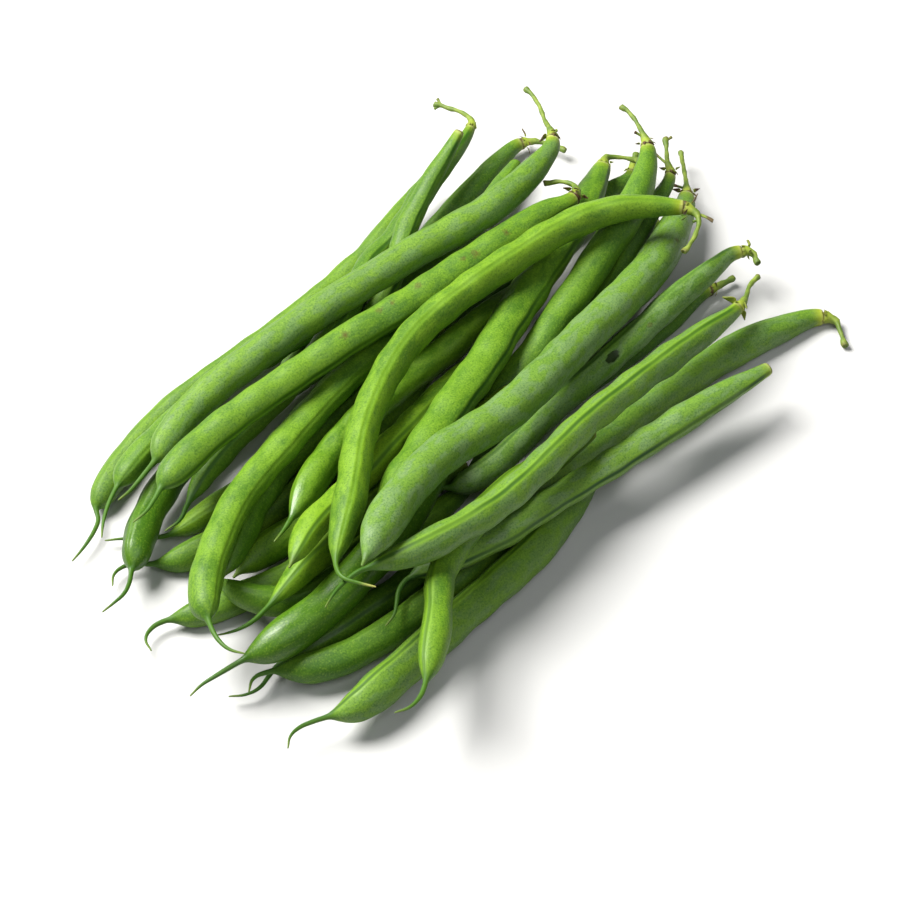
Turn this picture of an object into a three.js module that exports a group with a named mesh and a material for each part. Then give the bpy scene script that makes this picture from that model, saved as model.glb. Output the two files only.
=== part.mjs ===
// A loose bundle of fresh green beans (Phaseolus vulgaris pods) lying in a heap on a flat surface.
// Millimetres, +Z up. The beans run roughly along X, with their stem ends towards +X.
import * as THREE from "three";

// Driving dimensions of the heap.
const TOUCH_GAP = 0.5; // kept between two beans that touch
const FLOOR_SINK = 0.16; // share of its radius that a bean on the surface is pressed flat
const HEAP_HEIGHT = 44; // no bean is drawn as seen higher up than this
const NODE_STEP = 5; // spacing of the points that a bean is laid by
const DROP_SPACING = 7; // height from one bean to the next before they are let down
const DROP_SWEEPS = 1000; // sweeps in which the beans come down
const DROP_PASSES = 2; // times that they are moved apart in each of those
const CALM_SWEEPS = 260; // sweeps in which they only come clear of each other
const CALM_PASSES = 3;
const FALL = 0.3; // mm a sweep
const HOLD = 0.12; // how firmly a bean is held to its drawn route
const STIFFNESS = 0.3; // how firmly a bean keeps its own curve
const BEND_STRIDES = [1, 2, 4, 8];
const NEAR_SWEEPS = 8; // sweeps between two searches for beans that are near each other
const NEAR_REACH = 10;
const PARALLEL = 1e-9; // two stretches that turn less than this have no one closest place

// Driving dimensions of one bean.
const POD_SIDES = 8;
const STEM_SIDES = 6;
const NECK_LENGTH = 26; // the pod widens over this length from its stem end
const NECK_SHARE = 0.5; // its radius at the stem end, as a share of the full radius
const TIP = { length: 13, fullness: 0.95 }; // the pod narrows over this length; the less full, the blunter
const BLUNT_TIP = { length: 8, fullness: 0.6 };
const SLIM_TIP = { length: 18, fullness: 1 };
const TAIL_RADIUS = 0.8; // the thin beak that the flower leaves on the tip
const TAIL_END_RADIUS = 0.45;
const SEAM_RIDGE = 0.05; // how far the two seams stand out, as a share of the radius
const SIDE_FLATTENING = 0.05;
const SIDE_SHARPNESS = 16; // keeps the seams and the flat sides to their own edges of the pod
const SEED_PITCH = 13; // from one seed's swelling to the next
const SEED_SWELL = 0.06; // how far a seed fills the flat side out again
const SEED_PINCH = 0.05; // how far the whole pod draws in between two seeds
const NECK_RINGS = [0, 3, 9, 17]; // distances from the pod's stem end
const TIP_RINGS = [0.6, 0.3, 0.12, 0]; // distances from its tip, as shares of the tip's length
const TAIL_RING_STEP = 4;
const STEM_RADIUS = 1.1;
const STEM_RING_STEP = 3;
const CALYX_RADIUS = 2.4;
const CALYX_LENGTH = 4;
const CALYX_SHOULDER = 0.85; // its radius halfway, as a share of CALYX_RADIUS
const KNUCKLE_RADIUS = 1.4; // of the stem's free end
const KNUCKLE_LENGTH = 1.5;
const JOINT_GAP = 0.3; // between a stem and its pod
const CURVE_DIVISIONS = 600; // along a bean's curve, to measure it

// Every route is drawn on the surface as it shows from EYE, a point in front of and above the heap.
// A point of a bean that comes to rest higher up lies on the line from its drawn place to EYE.
const EYE = new THREE.Vector3(-368, -528, 782);

// The beans from the bottom of the heap to its top, each drawn from its stem end to its tip.
// girth is the pod's full width; seam is how far the upper seam is turned from straight up, in
// degrees. stem is drawn from its free end to the pod. A pod with no tail tapers to a plain point,
// a pod with no stem has lost it, a blunt one narrows late to its tip and a slim one early.
const BEANS = [
  { girth: 8.6, seam: 22.5, pod: [[-4, -16], [-31, -17], [-65, -15], [-92, -11], [-102, -7]],
    tail: [[-106, -7], [-110, -10], [-110, -13]] },
  { girth: 9.5, seam: 22.5, pod: [[12, 0], [-11, -2], [-45, -6], [-79, -11]] },
  { girth: 8.9, seam: 22.5, pod: [[8, 18], [-18, 12], [-42, 7], [-69, 5], [-87, 7], [-94, 11]],
    tail: [[-98, 14], [-104, 14], [-106, 11]] },
  { girth: 8.3, seam: -22.5, pod: [[20, 29], [-5, 24], [-30, 20], [-55, 16], [-76, 15], [-85, 16]],
    tail: [[-90, 19], [-94, 22], [-99, 25]] },
  { girth: 8.3, seam: -34, pod: [[-6, -38], [-24, -39], [-45, -40], [-76, -40], [-86, -39]],
    tail: [[-94, -42], [-99, -41], [-102, -39]] },
  { girth: 10.8, seam: 17,
    pod: [[21, -39], [5, -44], [-16, -49], [-38, -55], [-60, -60], [-77, -63], [-86, -61]],
    tail: [[-90, -60], [-96, -60], [-99, -63]] },
  { girth: 7.7, seam: 22.5, stem: [[100, -8], [96, -8]],
    pod: [[91, -7], [70, -10], [38, -13], [12, -15], [-6, -17]] },
  { girth: 7.7, seam: 22.5, pod: [[96, 23], [80, 15], [60, 7], [32, 1], [6, -5]] },
  { girth: 8, seam: 22.5, stem: [[93, 63], [91, 68], [88, 72]],
    pod: [[84, 74], [57, 66], [25, 55], [-10, 46], [-30, 41]] },
  { girth: 8.6, seam: 22.5, blunt: true,
    pod: [[57, 80], [17, 64], [-22, 57], [-60, 52], [-80, 45], [-95, 36]],
    tail: [[-97, 32], [-105, 27], [-110, 25]] },
  { girth: 9.5, seam: 22.5, blunt: true,
    pod: [[5, 46], [-24, 42], [-58, 38], [-82, 27], [-95, 16], [-99, 12]],
    tail: [[-101, 10], [-104, 7], [-113, 5]] },
  { girth: 9.2, seam: 22.5, pod: [[3, -42], [-32, -47], [-62, -49], [-77, -46], [-89, -39]],
    tail: [[-92, -38], [-95, -39], [-97, -41]] },
  { girth: 7.2, seam: -25, stem: [[74, 104], [77, 98], [79, 92]],
    pod: [[76, 88], [54, 77], [15, 56], [-21, 40], [-60, 29], [-75, 21]], tail: [[-77, 19], [-84, 18]] },
  { girth: 7.7, seam: 22.5, stem: [[120, 48], [117, 44], [114, 40]],
    pod: [[111, 35], [93, 26], [64, 10], [38, 2], [16, -3]] },
  { girth: 8, seam: 0, pod: [[6, 27], [-14, 24], [-50, 14], [-76, -3], [-81, -6]] },
  { girth: 8, seam: 40, stem: [[109, 49], [106, 47]],
    pod: [[103, 43], [85, 41], [50, 36], [25, 31], [5, 25]] },
  { girth: 8.6, seam: -30, blunt: true, pod: [[78, 68], [51, 56], [7, 54], [-37, 52], [-71, 45], [-86, 39]],
    tail: [[-90, 36], [-94, 33], [-99, 27]] },
  { girth: 9.4, seam: 30, stem: [[108, -48], [110, -44], [112, -40]],
    pod: [[111, -36], [87, -30], [62, -30], [31, -32], [1, -36], [-20, -38]] },
  { girth: 9.4, seam: 60, stem: [[118, 67], [118, 62], [116, 55]],
    pod: [[113, 48], [97, 34], [67, 19], [34, 4], [8, -5]] },
  { girth: 8.3, seam: -30, pod: [[32, 14], [5, 9], [-29, -1], [-52, -7], [-64, -14]] },
  { girth: 8.6, seam: 45, pod: [[50, 28], [22, 23], [-11, 18], [-37, 9], [-55, -1]],
    tail: [[-59, -3], [-62, -4]] },
  { girth: 6.8, seam: -50, pod: [[72, 89], [50, 77], [29, 65], [11, 52], [-5, 38]] },
  { girth: 9.5, seam: -80, blunt: true, stem: [[80, 57], [85, 53], [86, 49]],
    pod: [[82, 46], [72, 47], [50, 45], [19, 43], [-25, 41], [-53, 38], [-66, 35], [-77, 31]],
    tail: [[-80, 29], [-84, 27], [-89, 26]] },
  { girth: 9.2, seam: 35, blunt: true, stem: [[100, 91], [99, 84], [96, 77]],
    pod: [[92, 68], [65, 59], [27, 58], [-22, 55], [-54, 49], [-73, 40]],
    tail: [[-78, 38], [-83, 36], [-88, 35]] },
  { girth: 9.4, seam: -50, blunt: true,
    pod: [[51, 41], [18, 37], [-13, 31], [-41, 22], [-65, 12], [-87, -6], [-92, -15]],
    tail: [[-93, -19], [-94, -24], [-91, -30]] },
  { girth: 8.6, seam: -10, pod: [[-8, -21], [-30, -23], [-52, -25], [-70, -23], [-79, -15], [-82, -4]] },
  { girth: 8.6, seam: -13, slim: true, pod: [[22, -1], [0, -5], [-38, -11], [-60, -17], [-78, -22]],
    tail: [[-82, -23], [-87, -23], [-93, -21]] },
  { girth: 10.8, seam: 40,
    pod: [[-10, -10], [-24, -17], [-34, -22], [-50, -27], [-64, -31], [-81, -33], [-93, -32]],
    tail: [[-98, -32], [-106, -32], [-110, -33]] },
  { girth: 11.2, seam: -60, stem: [[108, 46], [105, 50], [101, 53]],
    pod: [[98, 51], [80, 40], [50, 25], [25, 12], [-2, 0], [-22, -10], [-36, -18]] },
  { girth: 8.2, seam: 15, blunt: true, stem: [[109, -8], [110, -6], [110, -3]],
    pod: [[108, -1], [87, -3], [57, -9], [25, -15], [-2, -21], [-13, -19]], tail: [[-15, -17], [-21, -16]] },
  { girth: 8.5, seam: -68, pod: [[85, -41], [56, -40], [20, -40], [-18, -39], [-42, -37]],
    tail: [[-46, -39], [-49, -43], [-55, -46]] },
  { girth: 8.3, seam: 30, pod: [[31, -28], [-7, -32], [-31, -41], [-44, -55], [-59, -69]],
    tail: [[-62, -71], [-66, -72], [-70, -71]] },
  { girth: 10.7, seam: 60, slim: true, stem: [[120, 41], [117, 36], [113, 30]],
    pod: [[109, 25], [83, 10], [53, 2], [17, -7], [-12, -9], [-35, -18], [-48, -26]] },
  { girth: 8.8, seam: -8, slim: true, stem: [[106, -12], [102, -13], [98, -16]],
    pod: [[92, -18], [69, -20], [34, -24], [-6, -32], [-34, -31], [-50, -27]],
    tail: [[-54, -27], [-60, -29], [-64, -31]] },
  { girth: 9.5, seam: 75, slim: true, stem: [[95, 9], [98, 10], [103, 13], [107, 17]],
    pod: [[106, 22], [85, 36], [53, 38], [12, 32], [-17, 15], [-36, -4], [-54, -22]],
    tail: [[-55, -26], [-50, -34]] },
];

const UP = new THREE.Vector3(0, 0, 1);

// The point at a height on the line from a drawn place on the surface to EYE.
function raised(drawn, height) {
  return drawn.clone().lerp(EYE, height / EYE.z);
}

// A smooth curve through points, ready to be measured.
function smooth(points) {
  const curve = new THREE.CatmullRomCurve3(points, false, "centripetal");
  curve.arcLengthDivisions = CURVE_DIVISIONS;
  return curve;
}

// One curve over the drawn stem, pod and tail, and how long each of the three is.
function drawnCurve(bean) {
  const stem = bean.stem ?? [];
  const points = [...stem, ...bean.pod, ...(bean.tail ?? [])];
  const curve = smooth(points.map(([x, y]) => new THREE.Vector3(x, y, 0)));
  const lengths = curve.getLengths();
  const lengthTo = (point) => lengths[Math.round((point / (points.length - 1)) * CURVE_DIVISIONS)];
  const total = lengths[CURVE_DIVISIONS];
  const stemLength = lengthTo(stem.length);
  const podLength = lengthTo(stem.length + bean.pod.length - 1) - stemLength;
  return { curve, total, stemLength, podLength, tailLength: total - stemLength - podLength };
}

function tipOf(bean) {
  if (bean.blunt) return BLUNT_TIP;
  return bean.slim ? SLIM_TIP : TIP;
}

// A pod's radius at a distance from its stem end: a neck, an even body and a tapered tip.
function podRadius(bean, along, podLength) {
  const intoNeck = Math.min(1, along / NECK_LENGTH);
  const widened = NECK_SHARE + (1 - NECK_SHARE) * Math.sin((intoNeck * Math.PI) / 2);
  const tip = tipOf(bean);
  const fromTip = Math.min(1, (podLength - along) / tip.length);
  const narrowed = Math.sin((fromTip * Math.PI) / 2) ** tip.fullness;
  return Math.max(TAIL_RADIUS, (bean.girth / 2) * widened * narrowed);
}

// A bean's radius at a distance from its pod's stem end: on the stem that distance is below zero,
// and on the tail it is over podLength.
function beanRadius(bean, along, podLength, tailLength) {
  if (along < -CALYX_LENGTH) return KNUCKLE_RADIUS;
  if (along < 0) return CALYX_RADIUS;
  if (along <= podLength) return podRadius(bean, along, podLength);
  return THREE.MathUtils.lerp(TAIL_RADIUS, TAIL_END_RADIUS, (along - podLength) / tailLength);
}

// A bean as a row of round nodes, each hung over its drawn place.
function strung(bean, order) {
  const { curve, total, stemLength, podLength, tailLength } = drawnCurve(bean);
  const count = Math.round(total / NODE_STEP);
  const nodes = [];
  for (let i = 0; i <= count; i += 1) {
    const along = (i / count) * total - stemLength;
    const radius = beanRadius(bean, along, podLength, tailLength) * (1 + (along < 0 ? 0 : SEAM_RIDGE));
    const drawn = curve.getPointAt(i / count);
    const place = raised(drawn, HEAP_HEIGHT / 2).setZ(DROP_SPACING * (order + 1));
    nodes.push({ drawn, place, radius, order });
  }
  return { bean, nodes, total, stemLength, podLength, tailLength };
}

// Moves every third node of a stride back towards the curve that the route was drawn with.
function keepShape(nodes, stride) {
  for (let i = stride; i < nodes.length - stride; i += 1) {
    const [before, here, after] = [nodes[i - stride], nodes[i], nodes[i + stride]];
    const drawnBow = before.drawn.clone().add(after.drawn).multiplyScalar(0.5).sub(here.drawn);
    const bow = before.place.clone().add(after.place).multiplyScalar(0.5).sub(here.place).sub(drawnBow);
    here.place.addScaledVector(bow, STIFFNESS / 2);
    before.place.addScaledVector(bow, -STIFFNESS / 4);
    after.place.addScaledVector(bow, -STIFFNESS / 4);
  }
}

// Draws a bean towards its route as seen from EYE, and down.
function pull(nodes, fall) {
  for (const { drawn, place } of nodes) {
    const seen = raised(drawn, Math.min(place.z, HEAP_HEIGHT));
    place.x += HOLD * (seen.x - place.x);
    place.y += HOLD * (seen.y - place.y);
    place.z -= fall;
  }
}

// The stretches of different beans that are near enough to touch before the next search.
function nearPairs(beans) {
  const stretches = beans.flatMap(({ nodes }) => nodes.slice(1).map((node, i) => [nodes[i], node]));
  const pairs = [];
  stretches.forEach((one, i) => {
    for (const other of stretches.slice(i + 1)) {
      if (one[0].order === other[0].order) continue;
      const reach = one[0].radius + other[0].radius + NEAR_REACH;
      if (one[0].place.distanceToSquared(other[0].place) < reach * reach) pairs.push([one, other]);
    }
  });
  return pairs;
}

// Shares, from 0 to 1, along two stretches of where they come closest.
function closest([a, b], [c, d]) {
  const first = b.place.clone().sub(a.place);
  const second = d.place.clone().sub(c.place);
  const between = a.place.clone().sub(c.place);
  const [aa, bb, ab] = [first.lengthSq(), second.lengthSq(), first.dot(second)];
  const [ac, bc] = [first.dot(between), second.dot(between)];
  const flat = aa * bb - ab * ab;
  let s = flat > PARALLEL ? THREE.MathUtils.clamp((ab * bc - ac * bb) / flat, 0, 1) : 0.5;
  const t = THREE.MathUtils.clamp((ab * s + bc) / bb, 0, 1);
  s = THREE.MathUtils.clamp((ab * t - ac) / aa, 0, 1);
  return [s, t];
}

// Pushes two stretches apart where they come closer than touching.
function separate([one, other]) {
  const [s, t] = closest(one, other);
  const here = one[0].place.clone().lerp(one[1].place, s);
  const there = other[0].place.clone().lerp(other[1].place, t);
  const reach = THREE.MathUtils.lerp(one[0].radius, one[1].radius, s)
    + THREE.MathUtils.lerp(other[0].radius, other[1].radius, t) + TOUCH_GAP;
  const apart = there.sub(here);
  const distance = apart.length();
  if (distance >= reach) return;
  apart.multiplyScalar((reach - distance) / distance / 2);
  one[0].place.addScaledVector(apart, -(1 - s));
  one[1].place.addScaledVector(apart, -s);
  other[0].place.addScaledVector(apart, 1 - t);
  other[1].place.addScaledVector(apart, t);
}

// Lets all beans down onto the surface and each other, the first ones first.
function settle(beans) {
  let pairs = [];
  for (let sweep = 0; sweep < DROP_SWEEPS + CALM_SWEEPS; sweep += 1) {
    if (sweep % NEAR_SWEEPS === 0) pairs = nearPairs(beans);
    const calm = sweep >= DROP_SWEEPS;
    for (const { nodes } of beans) {
      pull(nodes, calm ? 0 : FALL);
      for (const stride of BEND_STRIDES) keepShape(nodes, stride);
    }
    for (let pass = 0; pass < (calm ? CALM_PASSES : DROP_PASSES); pass += 1) {
      for (const pair of pairs) separate(pair);
      for (const { nodes } of beans) {
        for (const { place, radius } of nodes) place.z = Math.max(place.z, radius * (1 - FLOOR_SINK));
      }
    }
  }
}

// A settled bean's centre line, from its stem's free end to its tail's end.
function centreLine({ bean, nodes, total, stemLength, podLength, tailLength }) {
  const line = smooth(nodes.map((node) => node.place));
  const scale = line.getLength() / total;
  return {
    bean,
    line,
    stemLength: stemLength * scale,
    podLength: podLength * scale,
    tailLength: tailLength * scale,
  };
}

// A closed skin over rings of equal count: each ring is a list of points, and each end gets a pole.
function skin(rings, startPole, endPole) {
  const sides = rings[0].length;
  const points = [startPole, ...rings.flat(), endPole];
  const faces = [];
  const corner = (ring, side) => 1 + ring * sides + (side % sides);
  for (let side = 0; side < sides; side += 1) {
    faces.push(0, corner(0, side + 1), corner(0, side));
    for (let ring = 0; ring < rings.length - 1; ring += 1) {
      faces.push(corner(ring, side), corner(ring, side + 1), corner(ring + 1, side));
      faces.push(corner(ring, side + 1), corner(ring + 1, side + 1), corner(ring + 1, side));
    }
    faces.push(corner(rings.length - 1, side), corner(rings.length - 1, side + 1), points.length - 1);
  }
  const geometry = new THREE.BufferGeometry();
  geometry.setAttribute("position", new THREE.Float32BufferAttribute(points.flatMap((p) => p.toArray()), 3));
  geometry.setIndex(faces);
  return geometry;
}

// A ring of points round the line, its first point turned from straight up by an angle in radians.
function ring(line, at, sides, turned, radiusAt) {
  const share = THREE.MathUtils.clamp(at / line.getLength(), 0, 1);
  const centre = line.getPointAt(share);
  const ahead = line.getTangentAt(share);
  const across = ahead.clone().cross(UP).normalize();
  const above = across.clone().cross(ahead);
  const points = [];
  for (let side = 0; side < sides; side += 1) {
    const angle = (side / sides) * 2 * Math.PI;
    const radius = radiusAt(angle);
    const point = centre.clone();
    point.addScaledVector(above, radius * Math.cos(angle + turned));
    point.addScaledVector(across, radius * Math.sin(angle + turned));
    point.z = Math.max(0, point.z);
    points.push(point);
  }
  return points;
}

// The length between a pod's neck and its tip, where its seeds are.
function seedStretch(bean, podLength) {
  return podLength - NECK_LENGTH - tipOf(bean).length;
}

function seedCount(bean, podLength) {
  return Math.round(seedStretch(bean, podLength) / SEED_PITCH);
}

// Where the pod's rings stand: close at the neck and the tip, and on each seed and between seeds.
function podStations(bean, podLength, tailLength) {
  const stations = [...NECK_RINGS];
  const steps = 2 * seedCount(bean, podLength);
  for (let i = 0; i <= steps; i += 1) {
    stations.push(NECK_LENGTH + (i / steps) * seedStretch(bean, podLength));
  }
  for (const share of TIP_RINGS) stations.push(podLength - share * tipOf(bean).length);
  const tailSteps = Math.round(tailLength / TAIL_RING_STEP);
  for (let i = 1; i <= tailSteps; i += 1) stations.push(podLength + (i / tailSteps) * tailLength);
  return stations;
}

// A pod's outline across: a ridge on each of the two seams, and flatter sides that each seed fills.
function podSection(radius, seedPhase) {
  const fullness = (1 - Math.cos(seedPhase * 2 * Math.PI)) / 2;
  const swell = SEED_SWELL * fullness;
  const drawnIn = radius * (1 - SEED_PINCH * (1 - fullness));
  return (angle) => {
    const ridge = SEAM_RIDGE * Math.cos(angle) ** SIDE_SHARPNESS;
    const hollow = (SIDE_FLATTENING - swell) * Math.sin(angle) ** SIDE_SHARPNESS;
    return drawnIn * (1 + ridge - hollow);
  };
}

// The pod with its beak, as one body.
function podGeometry({ bean, line, stemLength, podLength, tailLength }) {
  const turned = THREE.MathUtils.degToRad(bean.seam);
  const seeds = seedCount(bean, podLength);
  const rings = podStations(bean, podLength, tailLength).map((along) => {
    const share = THREE.MathUtils.clamp((along - NECK_LENGTH) / seedStretch(bean, podLength), 0, 1);
    const section = podSection(beanRadius(bean, along, podLength, tailLength), share * seeds);
    return ring(line, stemLength + along, POD_SIDES, turned, section);
  });
  return skin(rings, line.getPointAt(stemLength / line.getLength()), line.getPointAt(1));
}

// The stem: a knuckle where it broke off the plant, a thin stalk and the cup that holds the pod.
function stemGeometry({ bean, line, stemLength }) {
  const joint = stemLength - JOINT_GAP;
  const calyxStart = joint - CALYX_LENGTH;
  const cup = Math.min(CALYX_RADIUS, (NECK_SHARE * bean.girth) / 2);
  const profile = [[0, KNUCKLE_RADIUS], [KNUCKLE_LENGTH, KNUCKLE_RADIUS]];
  for (let at = STEM_RING_STEP; at < calyxStart - 1; at += STEM_RING_STEP) profile.push([at, STEM_RADIUS]);
  profile.push([calyxStart, STEM_RADIUS]);
  profile.push([calyxStart + CALYX_LENGTH / 2, cup * CALYX_SHOULDER], [joint, cup]);
  const rings = profile.map(([at, radius]) => ring(line, at, STEM_SIDES, 0, () => radius));
  return skin(rings, line.getPointAt(0), line.getPointAt(joint / line.getLength()));
}

const podGreen = new THREE.MeshStandardMaterial({ color: "#6f9c33", roughness: 0.55, metalness: 0 });
const stemGreen = new THREE.MeshStandardMaterial({ color: "#a9a84e", roughness: 0.7, metalness: 0 });

function namedMesh(name, geometry, material) {
  const mesh = new THREE.Mesh(geometry, material);
  mesh.name = name;
  return mesh;
}

const bundle = new THREE.Group();
const beans = BEANS.map(strung);
settle(beans);
beans.map(centreLine).forEach((settled, index) => {
  const name = `bean_${String(index + 1).padStart(2, "0")}`;
  bundle.add(namedMesh(`${name}_pod`, podGeometry(settled), podGreen.clone()));
  if (settled.bean.stem) bundle.add(namedMesh(`${name}_stem`, stemGeometry(settled), stemGreen.clone()));
});

// The bundle's origin is the centre of its box, on the surface it lies on.
const box = new THREE.Box3().setFromObject(bundle);
const middle = box.getCenter(new THREE.Vector3());
bundle.position.set(-middle.x, -middle.y, -box.min.z);

export default bundle;
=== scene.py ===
"""Dresses the bundle of green beans: pods with seams and seeds, stems with sepals, the floor,
the light and the camera. Metres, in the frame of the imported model."""
from math import atan2, cos, hypot, pi, radians, sin
from random import Random

import bmesh
import bpy
from mathutils import Matrix, Vector


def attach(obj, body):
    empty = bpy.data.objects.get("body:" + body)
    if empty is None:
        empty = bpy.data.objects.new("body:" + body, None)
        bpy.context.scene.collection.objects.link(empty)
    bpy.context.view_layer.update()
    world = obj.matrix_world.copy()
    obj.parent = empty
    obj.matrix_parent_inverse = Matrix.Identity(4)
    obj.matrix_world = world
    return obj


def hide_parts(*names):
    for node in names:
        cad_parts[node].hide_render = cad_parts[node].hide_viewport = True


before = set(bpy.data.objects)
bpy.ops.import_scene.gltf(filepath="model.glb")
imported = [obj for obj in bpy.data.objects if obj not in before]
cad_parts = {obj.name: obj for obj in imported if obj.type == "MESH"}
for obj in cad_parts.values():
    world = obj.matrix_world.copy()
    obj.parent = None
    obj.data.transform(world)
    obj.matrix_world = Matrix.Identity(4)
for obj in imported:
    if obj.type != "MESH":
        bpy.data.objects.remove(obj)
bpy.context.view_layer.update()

MM = 0.001
UP = Vector((0, 0, 1))

# The camera: how it looks down on the heap, and from where.
CAMERA_AZIMUTH = radians(-35)
CAMERA_ELEVATION = radians(50.953)
CAMERA_ROLL = radians(-2.581)
CAMERA_EYE = Vector((-368.782, -529.000, 782.011)) * MM
LENS = 142.8
SENSOR = 36
NEAREST_SEEN, FARTHEST_SEEN = 0.01, 20

# The section of a pod as a ring of points, seen from its stem end: the angle from the nearer seam
# that a point starts at, where it goes, and how far out. The seam is a fine groove between two low
# ridges.
SEAM_SECTION = ((0, 0, 1.01), (18, 9, 1.065), (36, 21, 1.02), (54, 41, 1.0), (72, 66, 1.0))
SEAM_TOP = 1.05  # how far out the seam of a solid is
SAME_ANGLE = radians(1)
SECTION_POINTS = 20
SMOOTHING = 2  # subdivisions of every pod
CAGE_SWELL = 1.015  # smoothing draws a ring in by this much

# Smoothing also wears down the swellings over the seeds. A ring is made up for that by at least
# this share of how far it stands out, and stays within these shares of its own size.
LEAST_MADE_UP = 0.33
SMALLEST_RING, LARGEST_RING = 0.86, 1.12

# The lumps of the skins: how wide and how high they are, and how thin a piece is that has none.
POD_LUMPS = {"lump": 9 * MM, "height": 0.6 * MM, "thinnest": 1.5 * MM}
STALK_LUMPS = {"lump": 2.2 * MM, "height": 0.8 * MM, "thinnest": 0.4 * MM}

# A beak is the part of a pod that is thinner than this, and its last stretch runs out to a share of
# its width.
BEAK_THIN = 1.3 * MM
BEAK_RUN_OUT = 7 * MM
BEAK_END = 0.6

# How the ends of pods are closed: how far each step moves along the pod, and what share stays.
STEM_END = ((-0.35 * MM, 0.82), (-0.1 * MM, 0.5), (0.15 * MM, 0.6))
BEAK_TIP = ((0.3 * MM, 0.6),)
HOLE_DEPTH = 1.2 * MM

GUIDE_STEPS = 16  # how finely the curve between two centres of a line is followed
WELD = 1e-7
TOUCHING = 0.02 * MM


def deselect():
    bpy.ops.object.select_all(action="DESELECT")


def pick(piece):
    """Selects one piece alone and makes it the active one."""
    deselect()
    piece.select_set(True)
    bpy.context.view_layer.objects.active = piece


def edit(piece):
    """Opens a piece for editing by its points, with everything selected."""
    pick(piece)
    bpy.ops.object.mode_set(mode="EDIT")
    bpy.ops.mesh.select_mode(type="VERT")
    bpy.ops.mesh.select_all(action="SELECT")


def close():
    bpy.ops.object.mode_set(mode="OBJECT")


def select_where(piece, test):
    """In edit mode, selects just the points whose place passes the test."""
    bpy.ops.mesh.select_all(action="DESELECT")
    mesh = bmesh.from_edit_mesh(piece.data)
    for point in mesh.verts:
        point.select = test(point.co)
    mesh.select_flush_mode()
    bmesh.update_edit_mesh(piece.data)


def resize(value, centre=(0, 0, 0)):
    bpy.ops.transform.resize(value=value, center_override=centre)


def move(value):
    bpy.ops.transform.translate(value=value)


def extrude(along):
    """Draws what is selected out along X."""
    bpy.ops.mesh.extrude_region_move(TRANSFORM_OT_translate={"value": (along, 0, 0)})


def apply_place():
    """Puts the place of the picked piece into its mesh, so that it is at the origin itself."""
    bpy.ops.object.transform_apply(location=True, rotation=True, scale=True)


def open_circle(points):
    """A circle of radius 1 round X, opened for editing."""
    deselect()
    bpy.ops.mesh.primitive_circle_add(vertices=points, radius=1, rotation=(0, pi / 2, 0))
    apply_place()
    circle = bpy.context.object
    edit(circle)
    return circle


def copy_of(piece, name):
    copy = piece.copy()
    copy.data = piece.data.copy()
    copy.name = copy.data.name = name
    bpy.context.scene.collection.objects.link(copy)
    return copy


def apply_modifier(piece, kind, **settings):
    pick(piece)
    modifier = piece.modifiers.new(kind.title(), kind)
    for key, value in settings.items():
        setattr(modifier, key, value)
    bpy.ops.object.modifier_apply(modifier=modifier.name)


# ---------------------------------------------------------------- the solids that the pieces follow

RINGS_OF_STEM_END = 4
RINGS_OF_BEAK = 6


def rings_of(node):
    """The rings that a bean's solid is skinned over, from its wider end to its thinner one."""
    mesh = bmesh.new()
    mesh.from_mesh(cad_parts[node].data)
    bmesh.ops.remove_doubles(mesh, verts=mesh.verts, dist=WELD)
    mesh.verts.index_update()

    def flatness(point):
        return min(face.normal.dot(point.normal) for face in point.link_faces)

    pole = max(mesh.verts, key=flatness)
    rings, seen, front = [], {pole}, {pole}
    while front:
        rings.append([point.co.copy() for point in sorted(front, key=lambda point: point.index)])
        front = {edge.other_vert(point) for point in front for edge in point.link_edges} - seen
        seen |= front
    mesh.free()
    rings = [ring for ring in rings if len(ring) > 1]

    def spread(ring):
        centre = sum(ring, Vector()) / len(ring)
        return sum((point - centre).length for point in ring)

    return rings if spread(rings[0]) > spread(rings[-1]) else rings[::-1]


def directions(centres):
    """At each centre of a line: straight ahead, sideways and up."""
    found = []
    for i in range(len(centres)):
        ahead = (centres[min(i + 1, len(centres) - 1)] - centres[max(i - 1, 0)]).normalized()
        across = ahead.cross(UP).normalized()
        found.append((ahead, across, across.cross(ahead)))
    return found


def turn_of_seam(spokes):
    """The turn of a pod's two seams from upright, from where its rings stand out the furthest.
    Rings near its ends don't count, and as the seams lie opposite each other, doubled angles are
    summed."""
    double = Vector((0, 0))
    for ring in spokes[RINGS_OF_STEM_END:-RINGS_OF_BEAK]:
        height, side = max(ring, key=lambda spoke: hypot(*spoke))
        double += Vector((cos(2 * atan2(side, height)), sin(2 * atan2(side, height))))
    return atan2(double.y, double.x) / 2 if double.length > 0 else 0


class Line:
    """A bean's or a stem's centre line, measured from its solid: the centres of its rings, the
    distances along it, the turn of its seam, and each ring's half width and half height."""

    def __init__(self, node):
        rings = rings_of(node)
        self.centres = [sum(ring, Vector()) / len(ring) for ring in rings]
        self.stations = [0.0]
        for here, there in zip(self.centres, self.centres[1:]):
            self.stations.append(self.stations[-1] + (there - here).length)
        self.length = self.stations[-1]
        spokes = []
        for ring, centre, (_, across, above) in zip(rings, self.centres, directions(self.centres)):
            offsets = [point - centre for point in ring]
            spokes.append([(offset.dot(above), offset.dot(across)) for offset in offsets])
        self.seam = turn_of_seam(spokes)
        turn, lean = cos(self.seam), sin(self.seam)
        self.heights = [max(abs(h * turn + s * lean) for h, s in ring) for ring in spokes]
        self.widths = [max(abs(s * turn - h * lean) for h, s in ring) for ring in spokes]


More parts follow.
